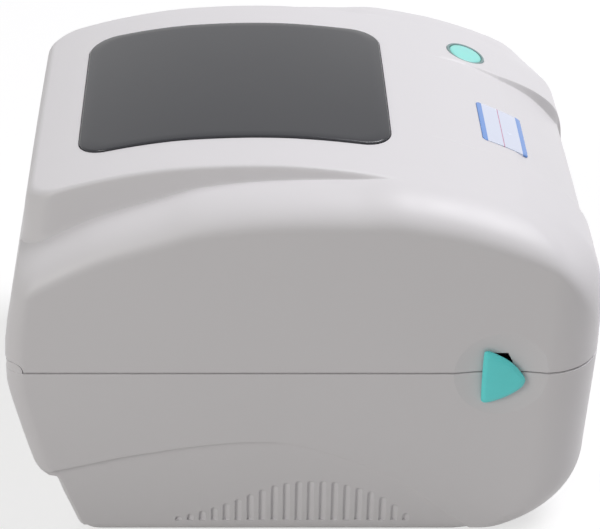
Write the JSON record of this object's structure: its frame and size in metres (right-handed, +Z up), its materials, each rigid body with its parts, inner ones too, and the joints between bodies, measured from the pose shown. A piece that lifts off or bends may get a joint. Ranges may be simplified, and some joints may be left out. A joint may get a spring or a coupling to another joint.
{
  "type": "barcode label printer",
  "caption": "Desktop direct thermal label printer: hinged clamshell cover over a label roll bay, platen drive and print head, with side release levers and a feed button.",
  "frame": {"origin": "on the table under the middle of the housing's outline", "axes": "-Y is the front, where labels come out; +Z is up; -X is the side of the pictured lever"},
  "size_m": [0.1818, 0.2199, 0.1531],
  "materials": {
    "housing": "fine satin moulding, warm off-white",
    "window_smoke": "glossy smoked translucent",
    "badge_film": "printed film, pale blue",
    "button_cap": "translucent pale teal",
    "button_trim": "satin grey-teal",
    "lever_teal": "satin teal",
    "inner_plastic": "dark grey moulding",
    "guide_plastic": "natural white acetal",
    "platen_rubber": "ground silicone rubber",
    "foot_rubber": "moulded rubber",
    "steel": "zinc-plated sheet and turned steel",
    "motor_case": "black-coated steel",
    "pinion_brass": "machined",
    "heatsink": "extruded",
    "ceramic": "glazed ceramic",
    "circuit_board": "green solder mask",
    "components": "black moulded parts"
  },
  "bodies": {
    "base": {"base_shell": "housing", "bottom_plate": "housing", "rubber_feet": "foot_rubber", "bottom_screws": "steel", "media_tray": "inner_plastic", "tray_screws": "steel", "mechanism_frame": "steel", "frame_screws": "steel", "platen_bushings": "guide_plastic", "stepper_motor": "motor_case", "motor_screws": "steel", "idler_pin": "steel", "label_guide": "inner_plastic", "gap_sensor": "components", "main_board": "circuit_board", "board_parts": "components", "board_screws": "steel", "connector_plate": "steel", "power_inlet": "components", "usb_socket": "steel", "switch_housing": "components", "hinge_pins": "steel", "latch_springs": "steel"},
    "platen": {"platen_shaft": "steel", "platen_rubber": "platen_rubber", "platen_gear": "guide_plastic"},
    "idler": {"idler_gear": "guide_plastic"},
    "pinion": {"motor_pinion": "pinion_brass"},
    "latch": {"latch_bar": "inner_plastic", "lever_left": "lever_teal", "lever_right": "lever_teal"},
    "left_guide": {"roll_guide_left": "guide_plastic"},
    "right_guide": {"roll_guide_right": "guide_plastic"},
    "rack_pinion": {"guide_pinion": "guide_plastic"},
    "rocker": {"power_rocker": "components"},
    "cover": {"top_cover": "housing", "window": "window_smoke", "badge": "badge_film", "button_ring": "button_trim", "button_board": "circuit_board", "cover_frame": "inner_plastic", "cover_screws": "steel", "striker_pins": "steel", "tear_bar": "steel", "upper_sensor": "components", "head_pivot_pin": "steel", "head_springs": "steel"},
    "button": {"feed_button": "button_cap"},
    "head": {"head_bracket": "steel", "head_heatsink": "heatsink", "head_ceramic": "ceramic"}
  },
  "joints": [
    {"name": "cover_hinge", "type": "hinge", "parent": "base", "child": "cover", "pos_m": [0, 0.1065, 0.076], "axis": [-1, 0, 0], "range_deg": [0, 90]},
    {"name": "release_levers", "type": "hinge", "parent": "base", "child": "latch", "pos_m": [0, -0.066, 0.056], "axis": [1, 0, 0], "range_deg": [0, 11], "stiffness_Nm_per_rad": 0.6, "springref_deg": -6.88},
    {"name": "platen_turn", "type": "hinge", "parent": "base", "child": "platen", "pos_m": [0, -0.093, 0.071], "axis": [1, 0, 0], "continuous": true},
    {"name": "idler_turn", "type": "hinge", "parent": "base", "child": "idler", "pos_m": [0, -0.08887, 0.04756], "axis": [1, 0, 0], "continuous": true},
    {"name": "motor_pinion_turn", "type": "hinge", "parent": "base", "child": "pinion", "pos_m": [0, -0.0775, 0.03203], "axis": [1, 0, 0], "continuous": true},
    {"name": "guide_left_slide", "type": "slide", "parent": "base", "child": "left_guide", "axis": [1, 0, 0], "range_m": [-0.005, 0.04]},
    {"name": "guide_right_slide", "type": "slide", "parent": "base", "child": "right_guide", "axis": [1, 0, 0], "range_m": [-0.04, 0.005]},
    {"name": "guide_pinion_turn", "type": "hinge", "parent": "base", "child": "rack_pinion", "pos_m": [0, 0.034, 0.0206], "axis": [0, 0, 1], "range_deg": [-36, 287]},
    {"name": "power_rocker_tilt", "type": "hinge", "parent": "base", "child": "rocker", "pos_m": [0.024, 0.082, 0.0175], "axis": [0, 0, 1], "range_deg": [0, 16]},
    {"name": "feed_button_press", "type": "slide", "parent": "cover", "child": "button", "axis": [0, 0.3201, -0.9474], "range_m": [0, 0.001], "stiffness_N_per_m": 400, "springref_m": -0.0005},
    {"name": "head_lift", "type": "hinge", "parent": "cover", "child": "head", "pos_m": [0, -0.07, 0.09], "axis": [-1, 0, 0], "range_deg": [0, 3], "stiffness_Nm_per_rad": 2, "springref_deg": -5.73, "deforming": ["head_springs"]}
  ],
  "couplings": [
    {"joint": "idler_turn", "follows": "platen_turn", "ratio": -0.7},
    {"joint": "motor_pinion_turn", "follows": "platen_turn", "ratio": 1.8667},
    {"joint": "guide_right_slide", "follows": "guide_left_slide", "ratio": -1},
    {"joint": "guide_pinion_turn", "follows": "guide_left_slide", "rad_per_m": 125}
  ]
}
